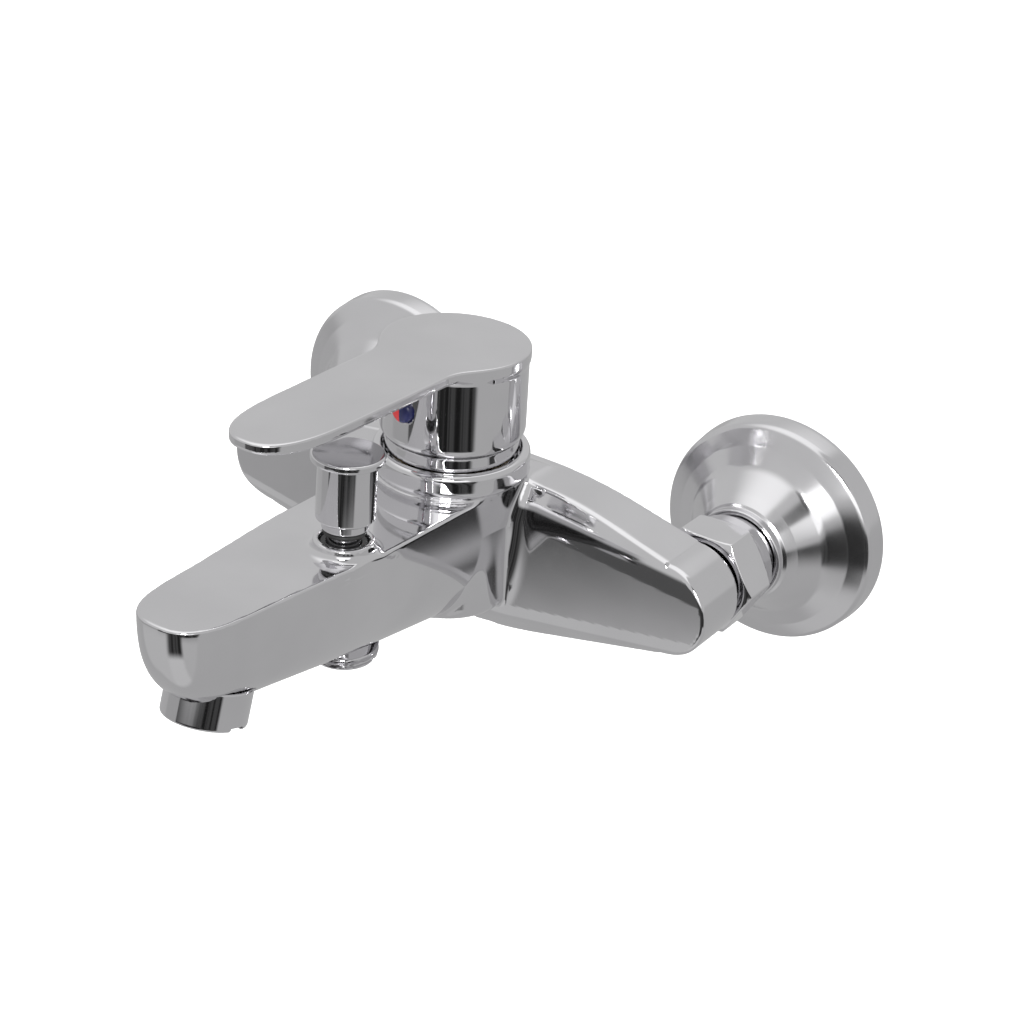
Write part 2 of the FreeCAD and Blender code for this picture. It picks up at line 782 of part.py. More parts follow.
def retaining_nut(doc, d):
    """Threaded brass ring that clamps the cartridge, with four key slots in its top."""
    height = d.well_floor - 0.1 - d.cartridge_shoulder
    inner = d.neck_radius + 0.3
    ring = cylinder(doc, "retaining_ring", d.nut_seat_radius - 0.05, height)
    bore = cylinder(doc, "retaining_bore", inner, height + 2, -1)
    slots = [box(doc, "retaining_slot_%d" % turn, 60, 4, 5, height - 2.5) for turn in range(2)]
    place(slots[1], 2, -30, height - 2.5, V(0, 0, 1), 90)
    return on_axis(cut(doc, "retaining_nut", ring, [bore] + slots), d, d.cartridge_shoulder)


# Handle: a cup over the neck of the cartridge, carrying a flat tongue towards the user.

def lever_outline(d):
    """The tongue and its round end, seen from above about the lever's axis."""
    half = d.lever_half_width.value
    reach = d.lever_reach.value
    radius = d.cup_radius.value
    flank = math.asin((half + 5.6) / radius)
    touch = V(radius * math.sin(flank), -radius * math.cos(flank), 0)
    sides = []
    for sign in (1, -1):
        hip = V(sign * touch.x, touch.y, 0)
        waist = V(sign * (half + 0.6), -27.0, 0)
        start = V(sign * half, -35.0, 0)
        end = V(sign * (half - 0.3), -74.0, 0)
        shoulder = V(sign * 10.6, -89.5, 0)
        blend = Part.BSplineCurve()
        blend.interpolate(Points=[hip, waist, start], InitialTangent=V(-sign * 0.5, -1, 0), FinalTangent=V(0, -1, 0))
        nose = Part.BSplineCurve()
        nose.interpolate(Points=[end, shoulder, V(0, -reach, 0)], InitialTangent=V(0, -1, 0),
                         FinalTangent=V(-sign, 0, 0))
        sides += [blend.toShape(), Part.makeLine(start, end), nose.toShape()]
    back = Part.Arc(V(-touch.x, touch.y, 0), V(0, radius, 0), V(touch.x, touch.y, 0)).toShape()
    return Part.Face(Part.Wire(Part.__sortEdges__(sides + [back])))


def lever_handle(doc, d):
    top = d.handle_top.value
    radius = d.cup_radius.value
    roof = d.cup_roof.value
    skirt_top = d.skirt_top.value
    far = 120.0
    tilt = FreeCAD.Placement(V(0, 0, top), FreeCAD.Rotation(V(1, 0, 0), -d.lever_rise.value))
    above = Part.makeBox(2 * far, 2 * far, 20, V(-far, -far, 0))
    above.Placement = tilt
    below = Part.makeBox(2 * far, 2 * far, 30, V(-far, -far, -30 - d.lever_thickness.value))
    below.Placement = tilt
    tongue = lever_outline(d).extrude(V(0, 0, 30))
    tongue.translate(V(0, 0, roof - 10))
    tongue = tongue.cut([above, below])
    cup = upright(radius, skirt_top, top + 5).cut(above)
    skirt = upright(d.skirt_radius.value, d.skirt_bottom.value, skirt_top + 1)
    cavity = upright(d.cup_bore.value, d.skirt_bottom.value - 1, roof)
    shell = tongue.fuse([cup, skirt]).cut(cavity)
    hub = Part.makeBox(12, 13.5, roof - d.hub_bottom.value + 1, V(-6, -8, d.hub_bottom.value))
    wide = d.spindle_wide.value + 0.1
    long = d.spindle_long.value + 0.1
    socket = Part.makeBox(wide, long, 20, V(-wide / 2, -long / 2, d.spindle_top.value - 20))
    turn = math.radians(d.plug_turn.value)
    out = V(math.sin(turn), -math.cos(turn), 0)
    level = V(0, 0, d.plug_z.value)
    screw_hole = drilled(d.screw_radius.value, level, level + out * 30)
    plug_hole = drilled(d.plug_radius.value + 0.05, level + out * d.plug_seat.value, level + out * 30)
    solid = shell.fuse(hub).cut([socket, screw_hole, plug_hole]).removeSplitter()
    handle = doc.addObject("Part::Feature", "lever_handle")
    handle.Label = "lever_handle"
    handle.Shape = solid.Solids[0] if len(solid.Solids) == 1 else solid
    place(handle, 0, d.axis_y, 0)
    return handle


def set_screw(doc, d):
    """Grub screw that grips the spindle, under the indicator plug."""
    start = d.spindle_long / 2 + 0.4
    blank = cylinder(doc, "set_screw_blank", d.screw_radius - 0.05, 9, start)
    hexagon = doc.addObject("Part::Prism", "set_screw_socket")
    hexagon.Polygon = 6
    bind(hexagon, "Circumradius", 1.15)
    bind(hexagon, "Height", 4)
    place(hexagon, z=start + 6)
    item = cut(doc, "set_screw", blank, [hexagon])
    return face_front(item, d)


def face_front(item, d):
    """Points a piece's local +Z out of the front of the cup, at the height of the plug."""
    place(item, 0, d.axis_y, d.plug_z)
    turn = FreeCAD.Rotation(V(0, 0, 1), d.plug_turn.value)
    item.Placement = FreeCAD.Placement(item.Placement.Base, turn.multiply(FreeCAD.Rotation(*FROM_WALL)))
    return item


def indicator_half(doc, d, label, side):
    """Half of the round red and blue plug."""
    disc = cylinder(doc, label + "_disc", d.plug_radius, d.plug_front - d.plug_seat, d.plug_seat + 0.05)
    half = box(doc, label + "_half", 10, 20, 10, d.plug_seat - 2)
    bind(half, "Placement.Base.x", -10 if side < 0 else 0)
    return face_front(common(doc, label, disc, half), d)


# Diverter: pulled up by its knob to send the water to the shower hose.

def on_boss(item, d):
    place(item, d.diverter_x, d.diverter_y, d.diverter_z, V(1, 0, 0), -d.spout_rise.value)
    return item


def diverter_knob(doc, d):
    neck = 6.8
    socket = 3.0
    profile = [
        (0, d.knob_bottom + 6),
        (socket, d.knob_bottom + 6),
        (socket, 3.4),
        (neck, 3.4),
        (neck, d.knob_bottom),
        (d.knob_radius, d.knob_bottom),
        (d.knob_radius, d.knob_cap_bottom),
        (d.knob_cap_radius, d.knob_cap_bottom),
        (d.knob_cap_radius, d.knob_top),
        (0, d.knob_top),
    ]
    rounds = [
        (d.knob_radius, d.knob_bottom, 1.2),
        (d.knob_cap_radius, d.knob_top, 1.0),
        (d.knob_cap_radius, d.knob_cap_bottom, 0.5),
    ]
    return on_boss(turned(doc, "diverter_knob", profile, rounds), d)


def diverter_stem(doc, d):
    """Brass stem through the gland, with a thin tail that carries the valve."""
    spigot = 2.95
    tail = 2.0
    profile = [
        (0, -25),
        (tail, -25),
        (tail, -9),
        (d.stem_radius, -9),
        (d.stem_radius, 3.35),
        (spigot, 3.35),
        (spigot, d.knob_bottom + 5.5),
        (0, d.knob_bottom + 5.5),
    ]
    return on_boss(turned(doc, "diverter_stem", profile), d)


def diverter_o_ring(doc, d):
    ring = o_ring(doc, "diverter_o_ring", d.stem_radius + 0.8, 1.5)
    lift = 2.5
    on_boss(ring, d)
    ring.Placement = ring.Placement.multiply(FreeCAD.Placement(V(0, 0, lift), FreeCAD.Rotation()))
    ring.setExpression("Placement.Base.y", None)
    ring.setExpression("Placement.Base.z", None)
    return ring


def diverter_gland(doc, d):
    """Screwed guide in the mouth of the boss."""
    profile = [
        (d.stem_radius + 0.05, -d.gland_length - 0.5),
        (d.gland_radius, -d.gland_length - 0.5),
        (d.gland_radius, -0.8),
        (d.stem_radius + 0.05, -0.8),
    ]
    return on_boss(turned(doc, "diverter_gland", profile), d)


def diverter_valve(doc, d):
    """Rubber double-faced valve on the end of the stem."""
    tail = 2.0
    profile = [(tail, -24.5), (5.2, -24.5), (5.2, -20.5), (3.6, -19.0), (tail, -19.0)]
    return on_boss(turned(doc, "diverter_valve", profile), d)


# Aerator, drawn along the jet.

def on_spout(item, d):
    place(item, 0, d.aerator_y, d.aerator_z, V(1, 0, 0), 180 - d.aerator_lean.value)
    return item


def aerator_housing(doc, d):
    """Chromed ring with two flats cut in its edge for a key."""
    inner = d.aerator_bore - 1.1
    profile = [
        (inner, d.aerator_socket + 1),
        (d.aerator_bore - 0.05, d.aerator_socket + 1),
        (d.aerator_bore - 0.05, d.aerator_shoulder + 0.1),
        (d.aerator_radius, d.aerator_shoulder + 0.1),
        (d.aerator_radius, d.aerator_end),
        (d.aerator_radius - 1.4, d.aerator_end),
        (inner, d.aerator_end - 1.2),
    ]
    ring = turned(doc, "aerator_ring", profile)
    notch = box(doc, "aerator_notch", 40, 5, 3, d.aerator_end - 1.2)
    return on_spout(cut(doc, "aerator_housing", ring, [notch]), d)


def aerator_insert(doc, d):
    """Plastic cartridge with a ring of jets."""
    blank = cylinder(doc, "insert_blank", d.aerator_bore - 1.15, 11, d.aerator_socket + 1.2)
    jets = []
    for ring, count in ((3.0, 6), (6.2, 12)):
        for number in range(count):
            angle = 2 * math.pi * number / count
            jet = cylinder(doc, "jet_%d_%d" % (count, number), 0.9, 20, d.aerator_socket)
            bind(jet, "Placement.Base.x", ring * math.cos(angle))
            bind(jet, "Placement.Base.y", ring * math.sin(angle))
            jets.append(jet)
    return on_spout(cut(doc, "aerator_insert", blank, jets), d)


def aerator_seal(doc, d):
    profile = [
        (7.4, d.aerator_socket),
        (d.aerator_bore - 0.1, d.aerator_socket),
        (d.aerator_bore - 0.1, d.aerator_socket + 0.95),
        (7.4, d.aerator_socket + 0.95),
    ]
    return on_spout(turned(doc, "aerator_seal", profile), d)


def build(doc):
    """Every sub-part, in the order of assembly."""
    d = Sheet(doc)
    parts = []
    for name, sign in (("left", -1), ("right", 1)):
        x = d.inlet_half_spacing * sign
        parts.append(eccentric_connector(doc, d, "eccentric_connector_" + name, x))
        parts.append(rosette(doc, d, "rosette_" + name, x))
        parts.append(union_seal(doc, d, "union_seal_" + name, x))
        parts.append(inlet_nipple(doc, d, "inlet_nipple_" + name, x))
        parts.append(union_nut(doc, d, "union_nut_" + name, x))
    parts.append(mixer_body(doc, d))
    parts.append(outlet_nipple(doc, d))
    parts.append(cartridge_port_seals(doc, d))
    base = d.cavity_floor + d.seal_height
    disc = base + d.base_height
    carrier = disc + d.disc_height * 2
    parts.append(ported_disc(doc, d, "cartridge_base", d.cartridge_radius - 0.1, d.base_height, base))
    parts.append(ported_disc(doc, d, "fixed_disc", d.fixed_disc_radius, d.disc_height, disc))
    parts.append(moving_disc(doc, d, disc + d.disc_height))
    parts.append(disc_carrier(doc, d, carrier))
    parts.append(cartridge_rotor(doc, d, carrier + d.carrier_height + 0.3))
    parts.append(cartridge_housing(doc, d, disc))
    parts.append(retaining_nut(doc, d))
    parts.append(pivot_pin(doc, d))
    parts.append(lever_spindle(doc, d))
    parts.append(lever_handle(doc, d))
    parts.append(set_screw(doc, d))
    parts.append(indicator_half(doc, d, "indicator_red", -1))
    parts.append(indicator_half(doc, d, "indicator_blue", 1))
    parts.append(diverter_gland(doc, d))
    parts.append(diverter_stem(doc, d))
    parts.append(diverter_o_ring(doc, d))
    parts.append(diverter_valve(doc, d))
    parts.append(diverter_knob(doc, d))
    parts.append(aerator_seal(doc, d))
    parts.append(aerator_insert(doc, d))
    parts.append(aerator_housing(doc, d))
    return parts


def check(doc, parts):
    doc.recompute()
    for item in doc.Objects:
        if "Invalid" in item.State or "Error" in item.State:
            raise RuntimeError("%s failed: %s" % (item.Name, item.State))
    for item in parts:
        if item.Shape.isNull() or not item.Shape.isValid():
            raise RuntimeError("%s has no valid shape" % item.Label)
        print("%-26s solids %d volume %.0f" % (item.Label, len(item.Shape.Solids), item.Shape.Volume))


def export(parts):
    os.makedirs("parts", exist_ok=True)
    for item in parts:
        item.Shape.exportStep("parts/%s.step" % item.Label)


doc = FreeCAD.newDocument("bath_mixer")
parts = build(doc)
check(doc, parts)
export(parts)
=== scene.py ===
import json
import math

import bmesh
import bpy
import numpy as np
from mathutils import Matrix, Vector


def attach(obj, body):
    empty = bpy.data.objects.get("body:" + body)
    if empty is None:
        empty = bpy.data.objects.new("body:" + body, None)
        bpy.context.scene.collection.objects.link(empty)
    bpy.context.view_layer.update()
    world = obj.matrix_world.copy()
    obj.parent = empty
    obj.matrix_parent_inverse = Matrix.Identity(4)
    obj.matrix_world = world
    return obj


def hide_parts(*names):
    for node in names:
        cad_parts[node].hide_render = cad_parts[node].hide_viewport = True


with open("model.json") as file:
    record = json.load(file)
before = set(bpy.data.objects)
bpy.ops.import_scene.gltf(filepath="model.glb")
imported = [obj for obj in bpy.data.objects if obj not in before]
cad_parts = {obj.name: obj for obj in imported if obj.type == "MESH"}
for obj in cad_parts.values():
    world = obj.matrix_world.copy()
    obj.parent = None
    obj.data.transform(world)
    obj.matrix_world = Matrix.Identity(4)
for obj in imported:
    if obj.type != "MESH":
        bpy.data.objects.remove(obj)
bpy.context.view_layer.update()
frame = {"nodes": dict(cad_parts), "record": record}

MM = 0.001

# Driving dimensions, millimetres, in the part's frame: +Z up, +Y into the wall.
INLET_X = 75.0
AXIS_Y = -76.5                 # the lever's axis
ARM_BACK, ARM_FRONT = -51.6, -72.2
ARM_END = 15.2                 # radius of the round end of an arm
ARM_TOP = (36.0, 24.7)         # where an arm's top edge starts to slope, as (x, z)
ARM_BOTTOM = (15.0, -31.0)     # and its bottom edge
PANEL_START = 12.0             # x where the edges of the arm's flat front panel are given
PANEL_TOP = (17.4, -0.095, 23.0)       # height, rise per mm outwards, lean of the bevel in degrees
PANEL_BOTTOM = (-23.0, 0.165, 32.0)
NIPPLE = 9.6
BELLY, BELLY_BOTTOM, BELLY_TOP = 19.6, -19.0, 16.0
FLARE, FLARE_FOOT, FLARE_TOP = 19.4, 13.0, 27.0
COLLAR, COLLAR_FOOT, COLLAR_TOP = 24.2, 25.6, 33.4
WELL, WELL_FLOOR = 21.5, 23.9
CAVITY, CAVITY_FLOOR = 17.7, -8.0
NUT_SEAT, NUT_SEAT_FLOOR = 18.4, 17.3
CUP, SKIRT = 22.3, 20.6
CUP_BORE, CUP_ROOF = 19.0, 58.0
SKIRT_BOTTOM, SKIRT_TOP = 32.3, 37.6
HANDLE_TOP = 66.9
LEVER_REACH = 96.6
LEVER_THICK = 3.6
LEVER_HALF = 14.3              # half the lever's width
LEVER_NOSE = 60.0              # from the lever's axis to where its end starts to narrow
SPOUT_TIP = -209.0
SPOUT_NOSE = -178.0            # y where the spout's end starts to close
SPOUT_BACK = -60.0
SPOUT_HALF, SPOUT_NARROWING = 19.5, 4.5
SPOUT_TOP, SPOUT_BOTTOM = 23.6, -21.5
SPOUT_RISE = math.radians(2.3)
SPOUT_BOTTOM_RISE = math.radians(8.85)
LEVER_RISE = math.radians(1.8)
DIVERTER = (9.0, -140.0, 29.8)
BOSS, BOSS_FOOT_DEPTH = 8.5, 7.0
GLAND, GLAND_SEAT = 7.35, -8.0
CHAMBER, CHAMBER_FLOOR = 6.0, -27.8
OUTLET_Y, OUTLET_R = -127.6, 10.48
OUTLET_SEAT, OUTLET_SHOULDER, OUTLET_END = -6.0, -13.5, -17.9
OUTLET_STEM, OUTLET_BORE = 8.6, 6.5
OUTLET_SPOTFACE = 14.2
JET_LEAN = math.radians(17.0)
MOUTH = (0.0, -187.2, 0.2)
JET_END = 9.7
JET_R, JET_BORE = 12.4, 10.5
JET_SOCKET, JET_SHOULDER = -9.0, -1.8
PLUG_Z = 51.2
PLUG_TURN = math.radians(-6.0)
PLUG, PLUG_SEAT = 3.8, 21.1
SCREW = 2.0

CAMERA_AT = (371.93, -605.04, 352.34)
CAMERA_AZIMUTH, CAMERA_DOWN, CAMERA_ROLL = 33.40, 27.89, 3.34
LENS_PX = 2369.57
FRAME_PX = 1024


# Shapes as distance fields: negative inside, in millimetres.

def smooth_max(a, b, k):
    """Intersection with its edge rounded over about k."""
    blend = np.clip(k - np.abs(a - b), 0.0, None) / k
    return np.maximum(a, b) + blend * blend * k * 0.25


def smooth_min(a, b, k):
    """Union with its inner corner filled over about k."""
    return -smooth_max(-a, -b, k)


def rod(x, y, z, start, axis, radius, low, high, k=0.5):
    """A cylinder about an axis through a point, between two distances along it."""
    along = (x - start[0]) * axis[0] + (y - start[1]) * axis[1] + (z - start[2]) * axis[2]
    off = [x - start[0] - along * axis[0], y - start[1] - along * axis[1], z - start[2] - along * axis[2]]
    radial = np.sqrt(off[0] ** 2 + off[1] ** 2 + off[2] ** 2) - radius
    return smooth_max(smooth_max(radial, along - high, k), low - along, k)


def upright(x, y, z, at_x, at_y, radius, low, high, k=0.5):
    return rod(x, y, z, (at_x, at_y, 0.0), (0.0, 0.0, 1.0), radius, low, high, k)


def gradient(field, x, y, z, step=0.05):
    slopes = []
    for shift in np.eye(3) * step:
        ahead = field(x + shift[0], y + shift[1], z + shift[2])
        behind = field(x - shift[0], y - shift[1], z - shift[2])
        slopes.append((ahead - behind) / (2 * step))
    return slopes


def half_space(x, y, z, point, normal):
    length = math.sqrt(sum(part * part for part in normal))
    total = (x - point[0]) * normal[0] + (y - point[1]) * normal[1] + (z - point[2]) * normal[2]
    return total / length


def net(name, field, low, high, step):
    """A closed mesh on the zero surface of a field: surface nets, then pulled onto the surface."""
    axes = [np.arange(low[i] - step, high[i] + 2 * step, step) for i in range(3)]
    grid = np.meshgrid(*axes, indexing="ij")
    value = field(*grid)
    inside = value < 0
    count = [len(axis) - 1 for axis in axes]
    corners = [(i, j, k) for i in (0, 1) for j in (0, 1) for k in (0, 1)]

    def corner(array, c):
        return array[c[0]:c[0] + count[0], c[1]:c[1] + count[1], c[2]:c[2] + count[2]]

    total = sum(corner(inside, c).astype(np.int8) for c in corners)
    active = (total > 0) & (total < 8)
    cells = np.argwhere(active)
    index = -np.ones(active.shape, np.int64)
    index[active] = np.arange(len(cells))
    sums = np.zeros((len(cells), 3))
    hits = np.zeros(len(cells))
    for c in corners:
        for axis in range(3):
            if c[axis]:
                continue
            other = list(c)
            other[axis] = 1
            a = corner(value, c)[active]
            b = corner(value, other)[active]
            cross = (a < 0) != (b < 0)
            share = np.where(cross, a / np.where(cross, a - b, 1.0), 0.0)
            point = np.array(c, float)[None, :].repeat(len(cells), 0)
            point[:, axis] = share
            sums[cross] += point[cross]
            hits[cross] += 1
    origin = np.array([axis[0] for axis in axes])
    centre = origin + (cells + sums / hits[:, None]) * step
    verts = centre.copy()
    for _ in range(4):
        here = field(*verts.T)
        slope = np.array(gradient(field, *verts.T)).T
        verts -= slope * (here / np.maximum((slope ** 2).sum(1), 0.05))[:, None]
        verts = centre + np.clip(verts - centre, -0.75 * step, 0.75 * step)
    faces = []
    for axis in range(3):
        u, v = [(1, 2), (2, 0), (0, 1)][axis]
        ahead = np.roll(inside, -1, axis)
        change = inside != ahead
        for other in range(3):
            cut = [slice(None)] * 3
            cut[other] = -1
            change[tuple(cut)] = False
            if other != axis:
                cut[other] = 0
                change[tuple(cut)] = False
        edges = np.argwhere(change)
        if not len(edges):
            continue
        flips = inside[tuple(edges.T)]
        ring = []
        for du, dv in ((1, 1), (0, 1), (0, 0), (1, 0)):
            cell = edges.copy()
            cell[:, u] -= du
            cell[:, v] -= dv
            ring.append(index[tuple(cell.T)])
        quads = np.array(ring).T
        quads[~flips] = quads[~flips][:, ::-1]
        faces.append(quads)
    faces = np.concatenate(faces)
    faces = faces[(faces >= 0).all(1)]
    mesh = bpy.data.meshes.new(name)
    mesh.from_pydata((verts * MM).tolist(), [], faces.tolist())
    mesh.update()
    slope = np.array(gradient(field, *verts.T)).T
    slope /= np.maximum(np.linalg.norm(slope, axis=1), 1e-9)[:, None]
    mesh.polygons.foreach_set("use_smooth", [True] * len(mesh.polygons))
    mesh.normals_split_custom_set_from_vertices(slope.tolist())
    piece = bpy.data.objects.new(name, mesh)
    bpy.context.scene.collection.objects.link(piece)
    return piece


def tangent_line(corner, centre, radius, side):
    """Outward normal of the tangent from a corner to a circle, in the XZ plane."""
    run = centre[0] - corner[0]
    rise = centre[1] - corner[1]
    reach = math.hypot(run, rise)
    turn = math.atan2(rise, run) + side * math.asin(radius / reach)
    return (-math.sin(turn) * side, 0.0, math.cos(turn) * side)


def arms_field(x, y, z):
    side = np.abs(x)
    edges = []
    for (at_x, at_z), up in ((ARM_TOP, 1), (ARM_BOTTOM, -1)):
        normal = tangent_line((at_x, at_z), (INLET_X, 0.0), ARM_END, up)
        slope = half_space(side, y, z, (at_x, 0, at_z), normal)
        edges.append(smooth_max((z - at_z) * up, slope, 4.0))
    end = np.where(side > INLET_X, np.hypot(side - INLET_X, z) - ARM_END, side - INLET_X - ARM_END)
    outline = np.maximum(np.maximum(*edges), end)
    leans = []
    for (at_z, slope, lean), up in ((PANEL_TOP, 1), (PANEL_BOTTOM, -1)):
        along = Vector((1.0, 0.0, slope))
        back = Vector((0.0, math.tan(math.radians(lean)), up))
        normal = along.cross(back)
        if normal.y > 0:
            normal = -normal
        leans.append(half_space(side, y, z, (PANEL_START, ARM_FRONT, at_z), normal))
    front = smooth_max(ARM_FRONT - y, smooth_max(leans[0], leans[1], 0.8), 1.8)
    depth = smooth_max(front, y - ARM_BACK, 0.8)
    return smooth_max(outline, depth, 1.3)


def spout_raw(x, y, z):
    """Below 0 inside the spout under its flat top; a rounded tongue, narrower underneath."""
    ahead = AXIS_Y - y
    top = SPOUT_TOP + math.tan(SPOUT_RISE) * ahead
    bottom = SPOUT_BOTTOM + math.tan(SPOUT_BOTTOM_RISE) * ahead
    share = np.clip((top - z) / (top - bottom), 0.0, 2.0)
    taper = np.clip((-125.0 - y) / 70.0, 0.0, 1.0)
    half = SPOUT_HALF - SPOUT_NARROWING * taper * taper * (3 - 2 * taper)
    nose = np.clip((SPOUT_NOSE - y) / (SPOUT_NOSE - SPOUT_TIP), 0.0, 2.0)
    return (np.abs(x) / half) ** 2.6 + nose ** 3.2 + share ** 2.8 - 1.0


def spout_field(x, y, z):
    raw = spout_raw(x, y, z)
    slope = gradient(spout_raw, x, y, z, 0.1)
    size = np.sqrt(slope[0] ** 2 + slope[1] ** 2 + slope[2] ** 2)
    side = raw / np.maximum(size, 0.03)
    top = half_space(x, y, z, (0, AXIS_Y, SPOUT_TOP), (0.0, math.sin(SPOUT_RISE), math.cos(SPOUT_RISE)))
    tongue = smooth_max(side, top, 1.0)
    return np.maximum(tongue, y - SPOUT_BACK)


def diverter_axis():
    return 0.0, math.sin(SPOUT_RISE), math.cos(SPOUT_RISE)


def jet_axis():
    return 0.0, -math.sin(JET_LEAN), -math.cos(JET_LEAN)


def boss_foot(x, y, z):
    """The flared foot of the diverter boss, kept within the sides of the spout."""
    deep = DIVERTER[2] - z + math.tan(SPOUT_RISE) * (DIVERTER[1] - y)
    radial = np.hypot(x - DIVERTER[0], y - DIVERTER[1])
    foot = radial - BOSS - 0.12 * np.clip(deep, 0.0, BOSS_FOOT_DEPTH) ** 2
    foot = smooth_max(foot * 0.7, np.abs(x) - 18.6, 1.5)
    return smooth_max(foot, np.maximum(0.6 - deep, deep - BOSS_FOOT_DEPTH), 0.5)


def casting_field(x, y, z):
    body = smooth_min(arms_field(x, y, z), spout_field(x, y, z), 7.0)
    belly = upright(x, y, z, 0.0, AXIS_Y, BELLY, BELLY_BOTTOM, BELLY_TOP, 4.0)
    body = smooth_min(body, belly, 1.5)
    radial = np.hypot(x, y - AXIS_Y)
    cone = (radial - FLARE - (z - FLARE_FOOT) * 0.25) * 0.97
    flare = smooth_max(cone, np.maximum(z - FLARE_TOP, FLARE_FOOT - z), 1.0)
    body = smooth_min(body, flare, 2.5)
    collar = upright(x, y, z, 0.0, AXIS_Y, COLLAR, COLLAR_FOOT, COLLAR_TOP, 2.4)
    body = smooth_min(body, collar, 1.0)
    boss = rod(x, y, z, DIVERTER, diverter_axis(), BOSS, -9.0, 0.0, 0.7)
    body = smooth_min(body, boss, 2.0)
    body = smooth_min(body, boss_foot(x, y, z), 1.5)
    above, below = 40.0, -30.0     # clear of the casting
    for cutter in (
        upright(x, y, z, 0.0, AXIS_Y, CAVITY, CAVITY_FLOOR, above),
        upright(x, y, z, 0.0, AXIS_Y, NUT_SEAT, NUT_SEAT_FLOOR, above),
        upright(x, y, z, 0.0, AXIS_Y, WELL, WELL_FLOOR, above),
        rod(x, y, z, DIVERTER, diverter_axis(), GLAND, GLAND_SEAT, 5.0),
        rod(x, y, z, DIVERTER, diverter_axis(), CHAMBER, CHAMBER_FLOOR, 5.0),
        rod(x, y, z, MOUTH, jet_axis(), JET_BORE, JET_SOCKET, 30.0),
        rod(x, y, z, MOUTH, jet_axis(), JET_R + 0.15, JET_SHOULDER, 30.0),
        upright(x, y, z, 0.0, OUTLET_Y, OUTLET_STEM, OUTLET_SHOULDER - 0.5, OUTLET_SEAT),
        upright(x, y, z, 0.0, OUTLET_Y, OUTLET_SPOTFACE, below, OUTLET_SHOULDER),
        rod(np.abs(x), y, z, (INLET_X, ARM_BACK, 0.0), (0.0, -1.0, 0.0), NIPPLE, -5.0, 10.0),
    ):
        body = smooth_max(body, -cutter, 0.4)
    return body


def handle_field(x, y, z):
    """Handle about its own axis: a cup with a flat tongue that reaches forward."""
    radial = np.hypot(x, y)
    top = half_space(x, y, z, (0, 0, HANDLE_TOP), (0.0, math.sin(LEVER_RISE), math.cos(LEVER_RISE)))
    ahead = np.clip((-y - LEVER_NOSE) / (LEVER_REACH - LEVER_NOSE), 0.0, 2.0)
    half = LEVER_HALF - 0.012 * np.clip(-y - 30.0, 0.0, None)
    tongue = (((np.abs(x) / half) ** 2.4 + ahead ** 3.4) ** (1 / 2.9) - 1.0) * half
    tongue = np.maximum(tongue, y + 5.0)
    plan = smooth_min(radial - CUP, tongue, 6.0)
    plate = smooth_max(plan, -top - LEVER_THICK, 1.2)
    cup = smooth_max(radial - CUP, SKIRT_TOP - z, 3.4)
    skirt = smooth_max(smooth_max(radial - SKIRT, SKIRT_BOTTOM - z, 0.8), z - 45.0, 1.0)
    solid = smooth_max(smooth_min(plate, cup, 2.0), top, 0.8)
    solid = smooth_min(solid, skirt, 0.6)
    cavity = upright(x, y, z, 0.0, 0.0, CUP_BORE, 20.0, CUP_ROOF)
    solid = smooth_max(solid, -cavity, 0.5)
    hub = np.maximum(np.maximum(np.abs(x) - 6.0, np.abs(y + 1.25) - 6.75), np.maximum(49.0 - z, z - 59.0))
    solid = np.minimum(solid, hub)
    socket = np.maximum(np.maximum(np.abs(x) - 3.55, np.abs(y) - 4.05), z - 60.5)
    out = (math.sin(PLUG_TURN), -math.cos(PLUG_TURN), 0.0)
    for cutter in (
        socket,
        rod(x, y, z, (0, 0, PLUG_Z), out, SCREW, 0.0, 30.0),
        rod(x, y, z, (0, 0, PLUG_Z), out, PLUG + 0.05, PLUG_SEAT, 30.0),
    ):
        solid = smooth_max(solid, -cutter, 0.3)
    return solid


def union_nut_field(x, y, z):
    """Nut about its own axis, +Z off the wall."""
    back, front, flats = 35.4, 48.8, 15.25
    skirt_end, thread, wall = back - 4.5, 13.32, 6.8
    radial = np.hypot(x, y)
    hexagon = None
    for turn in range(6):
        angle = math.radians(30 + 60 * turn)
        flat = x * math.cos(angle) + y * math.sin(angle) - flats
        hexagon = flat if hexagon is None else smooth_max(hexagon, flat, 0.5)
    cone_front = (radial - (flats + 0.2) + (z - front) * 1.85) * 0.475
    cone_back = (radial - (flats + 0.2) - (z - back) * 1.85) * 0.475
    body = smooth_max(smooth_max(hexagon, cone_front, 0.4), cone_back, 0.4)
    body = smooth_max(smooth_max(body, z - front, 0.5), back - z, 0.5)
    skirt = smooth_max(smooth_max(radial - (flats - 0.2), z - back - 1.0, 0.4), skirt_end - z, 0.6)
    body = smooth_min(body, skirt, 0.5)
    body = smooth_max(body, 10.0 - radial, 0.4)
    threads = smooth_max(smooth_max(radial - thread, z - front + wall, 0.3), back - 10.0 - z, 0.3)
    return smooth_max(body, -threads, 0.3)


def aerator_field(x, y, z):
    """Aerator ring about its own axis, +Z along the jet, with two key slots in its edge."""
    radial = np.hypot(x, y)
    ring = smooth_max(smooth_max(radial - JET_R, z - JET_END, 1.0), JET_SHOULDER + 0.1 - z, 0.6)
    tube = smooth_max(smooth_max(radial - JET_BORE + 0.05, z - 5.0, 0.3), JET_SOCKET + 1.0 - z, 0.3)
    body = smooth_min(ring, tube, 0.4)
    notch = JET_END - 1.2
    inner = 9.4 + np.clip(z - notch, 0.0, 1.4)
    body = smooth_max(body, inner - radial, 0.4)
    slot = smooth_max(np.abs(y) - 2.5, notch - z, 0.3)
    return smooth_max(body, -slot, 0.4)


# Turned shapes: a profile of (radius, height, fillet) corners spun about an axis.

